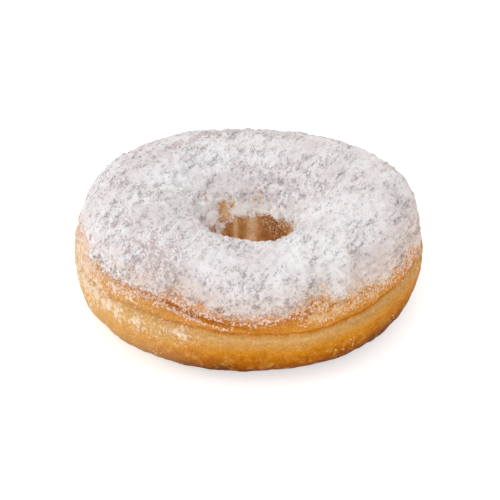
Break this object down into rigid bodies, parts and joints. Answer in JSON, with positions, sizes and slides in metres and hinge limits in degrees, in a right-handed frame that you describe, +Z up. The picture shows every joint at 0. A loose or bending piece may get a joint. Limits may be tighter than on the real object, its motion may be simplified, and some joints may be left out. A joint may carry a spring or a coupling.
{
  "type": "powdered sugar ring doughnut",
  "caption": "Raised ring doughnut dusted with powdered sugar, with a pale crease around its side and a funnel-shaped hole.",
  "frame": {"origin": "middle of the doughnut's box in plan, at the height of the flat foot that it rests on", "axes": "+Z up through the hole; -Y is the front, where the crust's second fold is; +X is the doughnut's right seen from the front"},
  "size_m": [0.0912, 0.0904, 0.033],
  "materials": {
    "fried_dough": "golden fried dough with a paler band at the crease, slightly oily",
    "powdered_sugar": "matt white powdered sugar"
  },
  "bodies": {
    "root": {"dough_ring": "fried_dough"}
  },
  "joints": []
}
